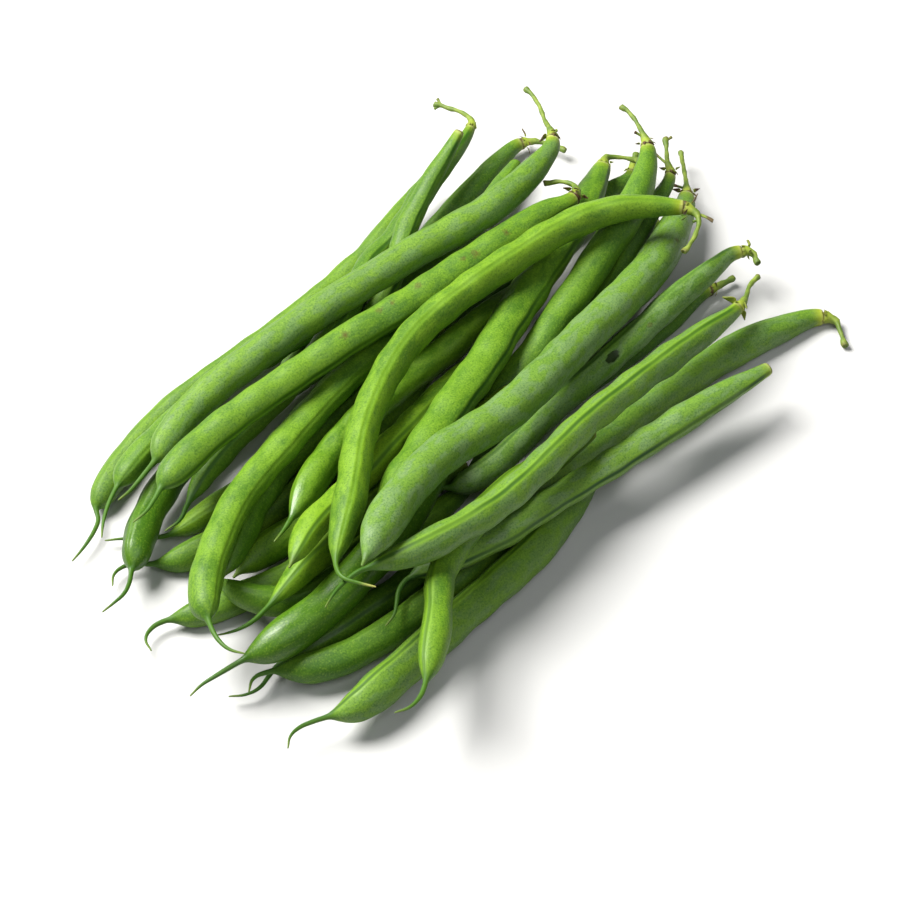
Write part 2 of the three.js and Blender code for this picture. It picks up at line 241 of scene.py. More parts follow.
def bend(piece, line, turn=0):
    """Lays a piece that was modelled straight along X onto a centre line."""
    data = bpy.data.curves.new("guide", "CURVE")
    data.dimensions, data.twist_mode, data.resolution_u = "3D", "Z_UP", GUIDE_STEPS
    spline = data.splines.new("BEZIER")
    spline.bezier_points.add(len(line.centres) - 1)
    for point, centre in zip(spline.bezier_points, line.centres):
        point.co = centre
        point.handle_left_type = point.handle_right_type = "AUTO"
        point.tilt = turn
    guide = bpy.data.objects.new("guide", data)
    bpy.context.scene.collection.objects.link(guide)
    bpy.context.view_layer.update()
    edit(piece)
    resize((spline.calc_length() / line.length, 1, 1))
    close()
    apply_modifier(piece, "CURVE", object=guide, deform_axis="POS_X")
    bpy.data.objects.remove(guide)
    bpy.data.curves.remove(data)


def press_on_floor(piece):
    """Flattens what would dip below the floor."""
    edit(piece)
    select_where(piece, lambda place: place.z < 0)
    resize((1, 1, 0))
    close()


def remember_straight(piece):
    """Keeps the place of every point on the straight piece: x runs from its wide end, and the seams
    of a pod lie above and below."""
    attributes = piece.data.attributes
    kept = attributes.get("straight") or attributes.new("straight", "FLOAT_VECTOR", "POINT")
    places = [0.0] * (3 * len(piece.data.vertices))
    piece.data.vertices.foreach_get("co", places)
    kept.data.foreach_set("vector", places)


def make_uneven(piece, lump, height, thinnest):
    """Raises and sinks a skin in soft lumps of a given size, and leaves what is thin as it is."""
    lumps = bpy.data.textures.new("lumps", "CLOUDS")
    lumps.noise_scale, lumps.noise_depth = lump, 1
    body = piece.vertex_groups.new(name="body")
    kept = piece.data.attributes["straight"].data
    for point, place in zip(piece.data.vertices, kept):
        thick = hypot(place.vector.y, place.vector.z) / thinnest - 1
        body.add([point.index], max(0.0, min(thick, 1.0)), "REPLACE")
    where = {"texture_coords": "LOCAL", "vertex_group": "body"}
    apply_modifier(piece, "DISPLACE", texture=lumps, strength=height, mid_level=0.5, **where)
    bpy.data.textures.remove(lumps)


# ---------------------------------------------------------------- pods


def seam_ring():
    """One turn of a pod's skin, of radius 1, with its two seams."""
    ring = open_circle(SECTION_POINTS)
    for start, end, out in SEAM_SECTION:
        first, last = radians(start), radians(end)

        def stands_at(place):
            return abs(atan2(abs(place.y), abs(place.z)) - first) < SAME_ANGLE

        select_where(ring, stands_at)
        wider = out * sin(last) / sin(first) if start else 1
        resize((1, wider, out * cos(last) / cos(first)))
    close()
    return ring


def extrude_rings(piece, stations, widths, heights):
    """Draws the open ring of a piece out along X through all stations, each of its own size."""
    edit(piece)
    resize((1, widths[0], heights[0]))
    move((stations[0], 0, 0))
    for i in range(1, len(stations)):
        extrude(stations[i] - stations[i - 1])
        grow = (1, widths[i] / widths[i - 1], heights[i] / heights[i - 1])
        resize(grow, (stations[i], 0, 0))
    close()


def cap(piece, at, steps):
    """Closes the ring at one end: each step gives how far it moves and how much it shrinks."""
    edit(piece)
    select_where(piece, lambda place: abs(place.x - at) < TOUCHING)
    for step, shrink in steps:
        extrude(step)
        at += step
        resize((1, shrink, shrink), (at, 0, 0))
    extrude(0)
    bpy.ops.mesh.merge(type="CENTER")
    bpy.ops.mesh.select_all(action="SELECT")
    bpy.ops.mesh.normals_make_consistent(inside=False)
    close()


def against_smoothing(sizes, seeds):
    """Ring sizes for a skin that smoothing then draws in. seeds is how clearly they still show."""
    made_up = LEAST_MADE_UP + (1 - LEAST_MADE_UP) * seeds
    cage = list(sizes)
    for i in range(1, len(sizes) - 1):
        stands_out = sizes[i] - (sizes[i - 1] + sizes[i + 1]) / 2
        wished = sizes[i] + made_up * stands_out
        cage[i] = min(max(wished, SMALLEST_RING * sizes[i]), LARGEST_RING * sizes[i])
    return [size * CAGE_SWELL for size in cage]


def run_out(sizes, line):
    """Makes the last stretch of a beak thinner towards its tip."""
    thinner = []
    for size, station in zip(sizes, line.stations):
        share = max(0.0, station - line.length + BEAK_RUN_OUT) / BEAK_RUN_OUT
        thinner.append(size * (1 - (1 - BEAK_END) * share) if size < BEAK_THIN else size)
    return thinner


def dent(piece, at, turn, long, wide, depth):
    """Presses an oval hole into a straight piece."""
    edit(piece)

    def in_hole(place):
        around = (atan2(-place.y, place.z) - turn) * hypot(place.y, place.z)
        return hypot((place.x - at) / long, around / wide) < 0.5

    select_where(piece, in_hole)
    move((0, depth * sin(turn), -depth * cos(turn)))
    close()


def pod(name, line, ring, look):
    """A pod with its beak, modelled straight and then laid along its line."""
    piece = copy_of(ring, name + "_pod_skin")
    widths = against_smoothing(line.widths, look["seeds"])
    heights = against_smoothing([height / SEAM_TOP for height in line.heights], look["seeds"])
    extrude_rings(piece, line.stations, run_out(widths, line), run_out(heights, line))
    cap(piece, line.stations[0], STEM_END)
    cap(piece, line.stations[-1], BEAK_TIP)
    apply_modifier(piece, "SUBSURF", levels=SMOOTHING, render_levels=SMOOTHING)
    remember_straight(piece)
    for at, turn, long, wide in look["holes"]:
        dent(piece, at * MM, radians(turn), long * MM, wide * MM, HOLE_DEPTH)
    bend(piece, line, line.seam + radians(look["turn"]))
    make_uneven(piece, **POD_LUMPS)
    press_on_floor(piece)
    bpy.ops.object.shade_smooth()
    return piece


# ---------------------------------------------------------------- stems

STALK_POINTS = 10
STALK_FURROW = 0.9  # how far out the furrows between the ribs of a stalk are
STALK_SHARE = 0.64  # a stalk is slimmer than its solid
STALK_STEP = 2.5 * MM
STALK_UNEVEN = 0.07
# The cup and the knuckle at the free end: mm from that end of the stem, and the share of the
# radius of the cup or the stalk.
CUP_PROFILE = ((0, 0.86), (0.9, 0.93), (2.0, 0.76), (3.1, 0.58))
KNUCKLE_PROFILE = ((2.6, 1.0), (1.5, 1.35), (0.5, 1.6), (0, 1.35))
KNUCKLE_ROOM = 3.6 * MM
# How its two ends are closed, in the same steps as a pod's.
STALK_ROOT = ((0.05 * MM, 0.7),)
STALK_BREAK = ((0.02 * MM, 0.8), (-0.25 * MM, 0.7))

# A sepal, 1 long: its width and height at equal steps from its root to its tip.
SEPAL_OUTLINE = (
    (0.6, 0), (0.8, 0.04), (0.78, 0.12), (0.6, 0.25), (0.4, 0.43), (0.2, 0.6), (0.06, 0.7),
)
SEPAL_STRIPS = 4  # how many it has across
SEPAL_MIDDLE = 0.1  # what lies further from its middle line than this is raised, by this much:
SEPAL_CUPPED = 0.07
SEPAL_THICK = 0.12
SEPAL_CLOSE = 0.01


def stalk_ring():
    """One turn of a stalk of radius 1, with five shallow ribs."""
    ring = open_circle(STALK_POINTS)
    bpy.ops.mesh.select_all(action="DESELECT")
    mesh = bmesh.from_edit_mesh(ring.data)
    for point in list(mesh.verts)[::2]:
        point.select = True
    mesh.select_flush_mode()
    bmesh.update_edit_mesh(ring.data)
    resize((1, STALK_FURROW, STALK_FURROW))
    close()
    return ring


def sepal():
    """A small pointed leaf that curls up at its tip: its root is at the origin, its length 1."""
    steps = len(SEPAL_OUTLINE) - 1
    deselect()
    bpy.ops.mesh.primitive_grid_add(
        x_subdivisions=steps, y_subdivisions=SEPAL_STRIPS, size=1, location=(0.5, 0, 0)
    )
    apply_place()
    leaf = bpy.context.object
    edit(leaf)
    for step, (width, lift) in enumerate(SEPAL_OUTLINE):
        along = step / steps
        select_where(leaf, lambda place: abs(place.x - along) < SEPAL_CLOSE)
        resize((1, width, 1), (along, 0, 0))
        move((0, 0, lift))
    select_where(leaf, lambda place: abs(place.y) > SEPAL_MIDDLE)
    move((0, 0, SEPAL_CUPPED))
    close()
    apply_modifier(leaf, "SOLIDIFY", thickness=SEPAL_THICK, offset=0)
    apply_modifier(leaf, "SUBSURF", levels=1, render_levels=1)
    return leaf


def stalk(ring, name, stations, radii):
    """A straight stalk along X, closed at both ends and smoothed."""
    piece = copy_of(ring, name)
    extrude_rings(piece, stations, radii, radii)
    cap(piece, stations[0], STALK_ROOT)
    cap(piece, stations[-1], STALK_BREAK)
    apply_modifier(piece, "SUBSURF", levels=1, render_levels=1)
    return piece


def place_on(piece, at, round_turn, out, open_turn, size=1):
    """Turns a small piece that points along X off a straight stalk, and sets its root on it."""
    piece.matrix_world = (
        Matrix.Translation((at, 0, 0))
        @ Matrix.Rotation(round_turn, 4, "X")
        @ Matrix.Translation((0, 0, out))
        @ Matrix.Rotation(-open_turn, 4, "Y")
        @ Matrix.Scale(size, 4)
    )
    pick(piece)
    apply_place()


# What grows on each stem. sepals: how many, their length in mm and how far they stand open, in
# degrees from pointing along the stalk to lying back on the pod. twigs: mm from the pod, or from
# the free end where it is below 0, the turns round the stalk and off it in degrees, and the length
# in mm. dry: how brown the cup and its sepals are.
STEM_GROWTH = {
    7: {"sepals": (4, 2.0, 95), "dry": 1.0},
    9: {"sepals": (4, 2.2, 70), "dry": 0.9},
    13: {"sepals": (1, 1.0, 120), "twigs": ((-2.2, 60, 40, 2.4), (-2.0, 240, 45, 2.0)), "dry": 0.3},
    14: {"sepals": (3, 1.8, 60), "twigs": ((-1.2, 90, 50, 2.2), (4.5, 250, 35, 6.0)), "dry": 0.9},
    16: {"sepals": (3, 1.8, 80), "dry": 0.7},
    18: {"sepals": (2, 1.6, 70), "twigs": ((7.5, 200, 50, 2.4),), "dry": 0.6},
    19: {"sepals": (3, 2.0, 60), "twigs": ((3.6, 300, 55, 3.4),), "dry": 1.0},
    23: {"sepals": (5, 2.4, 90), "dry": 1.0},
    24: {"sepals": (3, 2.6, 75), "twigs": ((3.0, 110, 60, 2.2),), "dry": 0.9},
    29: {"sepals": (1, 1.4, 60), "twigs": ((-1.5, 60, 60, 2.0), (-2.2, 230, 70, 1.8)), "dry": 0.2},
    30: {"sepals": (3, 1.8, 50), "twigs": ((2.5, 30, 55, 3.4),), "dry": 0.4},
    33: {"sepals": (3, 1.8, 60), "twigs": ((3.5, 270, 60, 4.2),), "dry": 1.0},
    34: {"sepals": (4, 3.2, 75), "twigs": ((4.0, 200, 60, 3.6),), "dry": 0.3},
    35: {"sepals": (4, 2.4, 60), "twigs": ((4.4, 260, 60, 4.6), (6.5, 90, 70, 1.8)), "dry": 0.9},
}
# How sepals and the small teeth of a cup sit on it: mm from the pod, how far out as a share of the
# cup's radius, how far out of turn they grow, and how much their opening varies, in degrees.
SEPALS = {"at": 1.8, "out": 0.8, "astray": 0.7, "swing": 40}
TEETH = {"at": 1.0, "out": 0.85, "astray": 0.8, "swing": 25}
TEETH_OF_CUP = (6, 1.3, 135)  # how many, their length in mm and how far they stand open
SHORTEST, LONGEST = 0.6, 1.2  # shares of the length of sepals and teeth
# A twig: shares of its length, and its radius there as a share of TWIG_RADIUS.
TWIG_PROFILE = ((0, 1.1), (0.3, 0.9), (0.7, 0.85), (0.88, 1.2), (1, 1.1))
TWIG_RADIUS = 0.48 * MM
TWIG_OUT = 0.2  # how far out its root is, as a share of the stalk's radius


def bare_stem(name, line, ring, chance):
    """A stalk with the cup that holds its pod and the knuckle where it broke, still straight."""
    thin = STALK_SHARE * min(line.heights)
    profile = [(at * MM, share * line.heights[0]) for at, share in CUP_PROFILE]
    at = profile[-1][0] + STALK_STEP
    while at < line.length - KNUCKLE_ROOM:
        profile.append((at, thin * (1 + STALK_UNEVEN * chance.uniform(-1, 1))))
        at += STALK_STEP
    profile += [(line.length - back * MM, share * thin) for back, share in KNUCKLE_PROFILE]
    stations, radii = zip(*profile)
    piece = stalk(ring, name + "_stem_grown", stations, radii)
    remember_straight(piece)
    make_uneven(piece, **STALK_LUMPS)
    return piece


def leaves_round(leaf, cup, way, growth, chance):
    """Small leaves round a cup of a given radius: growth is how many, their length and opening."""
    count, length, opens = growth
    leaves = []
    for i in range(count):
        lobe = copy_of(leaf, "lobe")
        turn = 2 * pi * (i + chance.uniform(0, way["astray"])) / count
        open_turn = radians(opens + chance.uniform(-way["swing"], way["swing"]))
        size = length * MM * chance.uniform(SHORTEST, LONGEST)
        place_on(lobe, way["at"] * MM, turn, way["out"] * cup, open_turn, size)
        leaves.append(lobe)
    return leaves


def twigs_on(line, ring, growth):
    """The broken twigs of a stem."""
    twigs = []
    for at, turn, off, long in growth:
        steps = [share * long * MM for share, _ in TWIG_PROFILE]
        radii = [share * TWIG_RADIUS for _, share in TWIG_PROFILE]
        twig = stalk(ring, "twig", steps, radii)
        start = at * MM if at > 0 else line.length + at * MM
        out = TWIG_OUT * STALK_SHARE * min(line.heights)
        place_on(twig, start, radians(turn), out, radians(off))
        twigs.append(twig)
    return twigs


def stem(name, number, line, ring, leaf):
    """A stem with its sepals, the teeth of its cup and its twigs, as one piece on its line."""
    growth = STEM_GROWTH[number]
    chance = Random(number)
    cup = line.heights[0]
    piece = bare_stem(name, line, ring, chance)
    grown = leaves_round(leaf, cup, SEPALS, growth["sepals"], chance)
    grown += leaves_round(leaf, cup, TEETH, TEETH_OF_CUP, chance)
    grown += twigs_on(line, ring, growth.get("twigs", ()))
    deselect()
    for part in [*grown, piece]:
        part.select_set(True)
    bpy.context.view_layer.objects.active = piece
    bpy.ops.object.join()
    remember_straight(piece)
    bend(piece, line)
    press_on_floor(piece)
    bpy.ops.object.shade_smooth()
    return piece


# ---------------------------------------------------------------- finishes


class Wire:
    """An output in a finish. Sums and products of wires add Math nodes."""

    def __init__(self, finish, socket):
        self.finish, self.socket = finish, socket

    def math(self, operation, first, second=0.0):
        return self.finish.node("Math", {"operation": operation}, {0: first, 1: second})

    def __add__(self, other):
        return self.math("ADD", self, other)

    def __radd__(self, other):
        return self.math("ADD", other, self)

    def __sub__(self, other):
        return self.math("SUBTRACT", self, other)

    def __rsub__(self, other):
        return self.math("SUBTRACT", other, self)

    def __mul__(self, other):
        return self.math("MULTIPLY", self, other)

    def __rmul__(self, other):
        return self.math("MULTIPLY", other, self)

    def __abs__(self):
        return self.math("ABSOLUTE", self)

    def root(self):
        return self.math("SQRT", self)

    def turn_from(self, upright):
        return self.math("ARCTAN2", self, upright)

    def least(self, other):
        return self.math("MINIMUM", self, other)

    def most(self, other):
        return self.math("MAXIMUM", self, other)

    def rise(self, low, high):
        """0 up to low, 1 from high on, smooth between."""
        settings = {"interpolation_type": "SMOOTHSTEP"}
        return self.finish.node("MapRange", settings, {0: self, 1: low, 2: high, 3: 0.0, 4: 1.0})

    def fall(self, low, high):
        """1 up to low, 0 from high on, smooth between."""
        return 1 - self.rise(low, high)

    def share(self, least, more, low, high):
        """least up to low, that much more from high on, smooth between."""
        return least + more * self.rise(low, high)


class Finish:
    """A material that is painted in layers: each one lies over the colour that is there so far."""

    def __init__(self, name, first_colour):
        self.material = bpy.data.materials.new(name)
        self.material.use_nodes = True
        self.nodes = self.material.node_tree.nodes
        self.colour = first_colour
        self.place = self.node("TexCoord", output="Object")

    def node(self, kind, settings=None, sockets=None, output=0):
        """Adds a node: its settings are set first, then its sockets are given values or wires."""
        node = self.nodes.new("ShaderNode" + kind)
        for key, value in (settings or {}).items():
            setattr(node, key, value)
        for key, value in (sockets or {}).items():
            self.feed(node.inputs[key], value)
        return Wire(self, node.outputs[output])

    def feed(self, socket, value):
        if isinstance(value, Wire):
            self.material.node_tree.links.new(value.socket, socket)
        else:
            socket.default_value = value

    def paint(self, share, colour):
        """Lays a colour over what is there: a share of 0 leaves that, and 1 covers it."""
        layers = {0: share, 6: self.colour, 7: colour}
        self.colour = self.node("Mix", {"data_type": "RGBA"}, layers, 2)

    def noise(self, vector, scale, detail=2.0, rough=0.5):
        sockets = {"Vector": vector, "Scale": scale, "Detail": detail, "Roughness": rough}
        return self.node("TexNoise", None, sockets)

    def scaled(self, vector, factors, shift=(0, 0, 0)):
        return self.node("Mapping", None, {0: vector, 1: shift, 3: factors})

    def bump(self, height, relief):
        sockets = {"Strength": BUMP_STRENGTH, "Distance": height, "Height": relief}
        return self.node("Bump", None, sockets)

    def surface(self, **sockets):
        """Gives the surface the painted colour, and its other sockets their values or wires."""
        skin = self.nodes["Principled BSDF"]
        self.feed(skin.inputs["Base Color"], self.colour)
        for key, value in sockets.items():
            self.feed(skin.inputs[key.replace("_", " ")], value)
        return self.material


class GrownFinish(Finish):
    """A finish that follows the straight piece: along, to its side, up and out from its middle."""

    def __init__(self, name, first_colour):
        super().__init__(name, first_colour)
        self.straight = self.node("Attribute", {"attribute_name": "straight"}, output="Vector")
        parts = (self.node("SeparateXYZ", None, {0: self.straight}, axis) for axis in "XYZ")
        self.along, self.side, self.up = parts
        self.out = (self.side * self.side + self.up * self.up).root()


def shade(red, green, blue):
    return (red, green, blue, 1)


# the deeper green of some pods, also used as painted shade on pods that lie under others
DEEPER_GREEN_AND_SHADE = shade(0.012, 0.060, 0.002)
DEEP_GREEN = shade(0.032, 0.105, 0.004)
LEAF_GREEN = shade(0.072, 0.178, 0.007)
LIME_GREEN = shade(0.150, 0.285, 0.009)
BLOOM_GREEN = shade(0.125, 0.220, 0.068)
GRAIN_DARK = shade(0.020, 0.075, 0.003)
GRAIN_PALE = shade(0.220, 0.345, 0.032)
SEAM_PALE = shade(0.165, 0.315, 0.012)
SEAM_DARK = shade(0.012, 0.060, 0.003)
# painted shade inside the holes of a pod
HOLE_SHADE = shade(0.016, 0.036, 0.004)
NECK_YELLOW = shade(0.310, 0.380, 0.020)
NECK_CREAM = shade(0.560, 0.540, 0.220)
BEAK_GREEN = shade(0.030, 0.100, 0.006)
BEAK_PALE = shade(0.360, 0.360, 0.090)
RUST = shade(0.078, 0.050, 0.008)
DRY_BROWN = shade(0.070, 0.032, 0.010)
STALK_GREEN = shade(0.085, 0.150, 0.012)
STALK_LIME = shade(0.200, 0.270, 0.030)

# Patterns, each with its scale, detail and roughness: the larger the scale, the finer it is.
BROAD = (38, 2, 0.5)
SCUFFS = (95, 4, 0.7)
PATCHES = (190, 3, 0.5)
DENTS = (300, 2, 0.5)
FLECKS = (900, 4, 0.7)
GRAIN = (1900, 4, 0.6)
DOTS = (3200, 2, 0.5)
STALK_BROAD = (300, 3, 0.6)
STALK_STREAKS = (900, 2, 0.5)
STALK_FINE = (1500, 3, 0.6)
STRETCH = (1, 2.2, 2.2)  # patches are longer along a pod than round it
DENT_STRETCH = (1, 3, 3)
STREAK_STRETCH = (0.3, 1, 1)
SHIFT_PER_BEAN = Vector((0.37, 0.11, 0))  # so that no two pods have the same patches

# The values of the patterns lie about their mean, so a rise from there to 0.66 leaves just the
# strongest parts. These are the values from which and up to which a layer of a pod's skin sets in,
# and the share of its colour that is laid on.
MEAN = 0.5
BLOOMING = (0.4, 0.58)
DARK_GRAIN, DARK_GRAIN_SHARE = (0.5, 0.66), 0.5
PALE_GRAIN, PALE_GRAIN_SHARE = (0.33, 0.48), 0.32
DARK_DOTS, DARK_DOTS_SHARE = (0.56, 0.68), 0.24
SCUFFED, SCUFFED_SHARE = (0.69, 0.76), 0.55
DULLER, DULLER_SHARE = (0.3, 0.7), 0.16
BEAK_SHARE = 0.7
MARKS_SHARE = 0.9
HOLE_RIM_SHARE = 0.5
LEAST_BLOOM, MORE_BLOOM = 0.3, 0.9
MARKS_DULL = 0.25  # how much duller brown spots are
# For some, the least share and how much more there is come before the two values.
LEAFY = (0.3, 0.7, 0.38, 0.6)
LIMY = (0.25, 0.9, 0.42, 0.66)
GROOVED = (0.6, 0.4, 0.35, 0.55)
SPECKLED = (0.45, 0.55, 0.45, 0.58)
# What the grain, the dots and the dents have of the relief of a pod's skin.
RELIEF = (0.4, 0.6, 1.6)

# The same for a stem.
STALK_LIMY = (0.35, 0.65)
STREAKED, STREAKED_SHARE = (0.5, 0.7), 0.6
FRAYED, FRAYED_SHARE = (0.4, 0.6), 0.6
RUSTY, RUSTY_SHARE = (0.62, 0.75), 0.5
CUP_SHARE = 0.5
STALK_ROUGH, STALK_ROUGHER = 0.5, 0.25

# Where the colours of a pod change, each from here to there, and how much an edge wavers.
# Round it, from a seam:
SEAM_BAND = (0.6 * MM, 2.0 * MM)
SEAM_GROOVE = (0.25 * MM, 1.1 * MM)
SEAM_WAVER = 0.5 * MM
GROOVE_WAVER = 0.4  # as a share of that
# Along it, from its stem end:
NECK = (-1 * MM, 3 * MM)
NECK_WAVER = 2 * MM
RIM = (-0.3 * MM, 0.7 * MM)
RIM_WAVER = 1 * MM
SCAR = (-0.3 * MM, 0.4 * MM)
BODY = (4 * MM, 8 * MM)
TIP = 5 * MM  # this far from its other end
# Out from its middle, where it is thin enough to be beak:
BEAK = (0.9 * MM, 2.2 * MM)
# From the middle of a brown spot or a hole, in shares of its size:
SPOT = (0.2, 0.75)
SPOT_RAGGED = 2.2
HOLE = (0.38, 0.52)
HOLE_RIM = (0.5, 0.72)
HOLE_RAGGED = 0.5

# The same for a stem. Along it, from the pod:
CUP = (1.5 * MM, 4 * MM)
JOINT = (0.2 * MM, 1.0 * MM)
JOINT_WAVER = 1 * MM
BREAK = (1.6 * MM, 0.2 * MM)  # back from its free end
# Out from its middle, where only sepals and twigs reach:
WITHERED = (2.0 * MM, 3.0 * MM)
WITHERED_WAVER = 1.5 * MM

POD_BUMP = 0.12 * MM
STALK_BUMP = 0.15 * MM
BUMP_STRENGTH = 0.5


class PodFinish(GrownFinish):
    """A pod's skin: mottled green under a pale bloom, with its seams, ends and blemishes."""

    def __init__(self, name, line, look):
        super().__init__(name, DEEP_GREEN)
        self.line, self.look = line, look
        self.shift = look["number"] * SHIFT_PER_BEAN
        self.stretched = self.scaled(self.straight, STRETCH, self.shift)
        self.broad = self.noise(self.stretched, *BROAD)
        self.patches = self.noise(self.stretched, *PATCHES)
        self.flecks = self.noise(self.place, *FLECKS)
        self.grain = self.noise(self.place, *GRAIN)
        self.dots = self.noise(self.place, *DOTS)

    def paint_greens(self):
        """Deep and leaf green in patches, yellower in some and greyer with bloom in others."""
        leafy = (0.6 * self.broad + 0.4 * self.patches).share(*LEAFY)
        lime = (0.6 * self.patches + 0.5 * self.broad).share(*LIMY)
        bloom = LEAST_BLOOM + MORE_BLOOM * self.patches.fall(*BLOOMING)
        self.paint(leafy, LEAF_GREEN)
        self.paint(self.look["lime"] * lime, LIME_GREEN)
        self.paint(self.look["bloom"] * bloom, BLOOM_GREEN)
        # painted shade: pods that lie under others are darkened all over, together with the deeper
        # green of some pods
        self.paint(self.look["dark"], DEEPER_GREEN_AND_SHADE)

    def paint_grain(self):
        """Fine dark and pale grain, and darker dots."""
        self.paint(DARK_GRAIN_SHARE * self.grain.rise(*DARK_GRAIN), GRAIN_DARK)
        self.paint(PALE_GRAIN_SHARE * self.grain.fall(*PALE_GRAIN), GRAIN_PALE)
        self.paint(DARK_DOTS_SHARE * self.dots.rise(*DARK_DOTS), GRAIN_DARK)

    def paint_seams(self):
        """A paler band along each of the two seams, and the dark line of its groove."""
        turn = abs(self.side.turn_from(self.up))
        from_seam = (turn * self.out).least((pi - turn) * self.out)
        waver = SEAM_WAVER * self.patches
        band = (from_seam + waver).fall(*SEAM_BAND)
        groove = (from_seam + GROOVE_WAVER * waver).fall(*SEAM_GROOVE)
        clear = self.broad.share(*GROOVED)
        self.paint(self.look["band"] * band, SEAM_PALE)
        self.paint(self.look["line"] * (groove * clear), SEAM_DARK)

    def paint_ends(self):
        """A yellow neck with a cream rim at the stem end, and a dark beak with a pale tip."""
        neck = (self.along - NECK_WAVER * self.patches).fall(*NECK)
        rim = (self.along - RIM_WAVER * self.patches).fall(*RIM)
        beak = self.out.fall(*BEAK) * self.along.rise(*BODY)
        tip = self.along.rise(self.line.length - TIP, self.line.length)
        self.paint(self.look["neck"] * neck, NECK_YELLOW)
        self.paint(self.look["rim"] * rim, NECK_CREAM)
        self.paint(BEAK_SHARE * beak, BEAK_GREEN)
        self.paint(self.look["tip"] * tip, BEAK_PALE)

    def away_from(self, along, turn, long, wide):
        """How far it is to a spot on the skin, as a share of the spot's length and width."""
        factors = Vector((1 / long, 1 / wide, 1 / wide)) / MM
        shift = -factors * on_skin(self.line, along, turn)
        offset = self.scaled(self.straight, factors, shift)
        return self.node("VectorMath", {"operation": "LENGTH"}, {0: offset}, "Value")

    def paint_marks(self):
        """Small scuffs all over and the brown spots of this pod. Gives back how strong they are."""
        marks = SCUFFED_SHARE * self.noise(self.stretched, *SCUFFS).rise(*SCUFFED)
        speckled = self.flecks.share(*SPECKLED)
        for along, turn, size in self.look["marks"]:
            away = self.away_from(along, turn, size, size) + SPOT_RAGGED * (self.flecks - MEAN)
            marks = marks.most(away.fall(*SPOT) * speckled)
        self.paint(MARKS_SHARE * marks, RUST)
        return marks

    def paint_holes(self):
        """Ragged holes with painted shade inside, paler round their rims."""
        for hole in self.look["holes"]:
            away = self.away_from(*hole) + HOLE_RAGGED * (self.flecks - MEAN)
            self.paint(HOLE_RIM_SHARE * away.fall(*HOLE_RIM), BLOOM_GREEN)
            # painted shade: the inside of each hole is painted near-black green
            self.paint(away.fall(*HOLE), HOLE_SHADE)


def on_skin(line, along, turn):
    """A place on a straight pod: mm from its stem end, and degrees from its upper seam."""
    nearest = min(range(len(line.stations)), key=lambda i: abs(line.stations[i] - along * MM))
    out = line.heights[nearest] / SEAM_TOP
    return Vector((along * MM, -out * sin(radians(turn)), out * cos(radians(turn))))


def pod_finish(name, line, look):
    """The finish of one pod, laid on from its greens to the scar of its stem end."""
    skin = PodFinish(name, line, look)
    skin.paint_greens()
    skin.paint_grain()
    skin.paint_seams()
    skin.paint_ends()
    marks = skin.paint_marks()
    skin.paint_holes()
    skin.paint(look["scar"] * skin.along.fall(*SCAR), DRY_BROWN)
    dents = skin.noise(skin.scaled(skin.straight, DENT_STRETCH, skin.shift), *DENTS)
    relief = RELIEF[0] * skin.grain + RELIEF[1] * skin.dots + RELIEF[2] * dents
    bump = skin.bump(POD_BUMP, relief)
    rough = look["rough"] + DULLER_SHARE * skin.patches.rise(*DULLER) + MARKS_DULL * marks
    return skin.surface(Roughness=rough, Normal=bump, Specular_IOR_Level=look["gloss"])


def stalk_finish(name, line, dry):
    """A stem's skin: yellow-green, browner where it broke off and where it holds the pod."""
    skin = GrownFinish(name, STALK_GREEN)
    broad = skin.noise(skin.place, *STALK_BROAD)
    fine = skin.noise(skin.place, *STALK_FINE)
    streaks = skin.noise(skin.scaled(skin.straight, STREAK_STRETCH), *STALK_STREAKS)
    skin.paint(broad.rise(*STALK_LIMY), STALK_LIME)
    skin.paint(STREAKED_SHARE * streaks.rise(*STREAKED), STALK_GREEN)
    skin.paint(CUP_SHARE * skin.along.fall(*CUP), NECK_YELLOW)
    withered = dry * (skin.out + WITHERED_WAVER * (broad - MEAN)).rise(*WITHERED)
    joint = dry * (skin.along + JOINT_WAVER * (fine - MEAN)).fall(*JOINT)
    broken = FRAYED_SHARE * skin.along.rise(*(line.length - back for back in BREAK))
    skin.paint(withered.most(joint).most(broken * broad.rise(*FRAYED)), DRY_BROWN)
    skin.paint(RUSTY_SHARE * fine.rise(*RUSTY), RUST)
    rough = STALK_ROUGH + STALK_ROUGHER * broad
    return skin.surface(Roughness=rough, Normal=skin.bump(STALK_BUMP, fine + streaks))
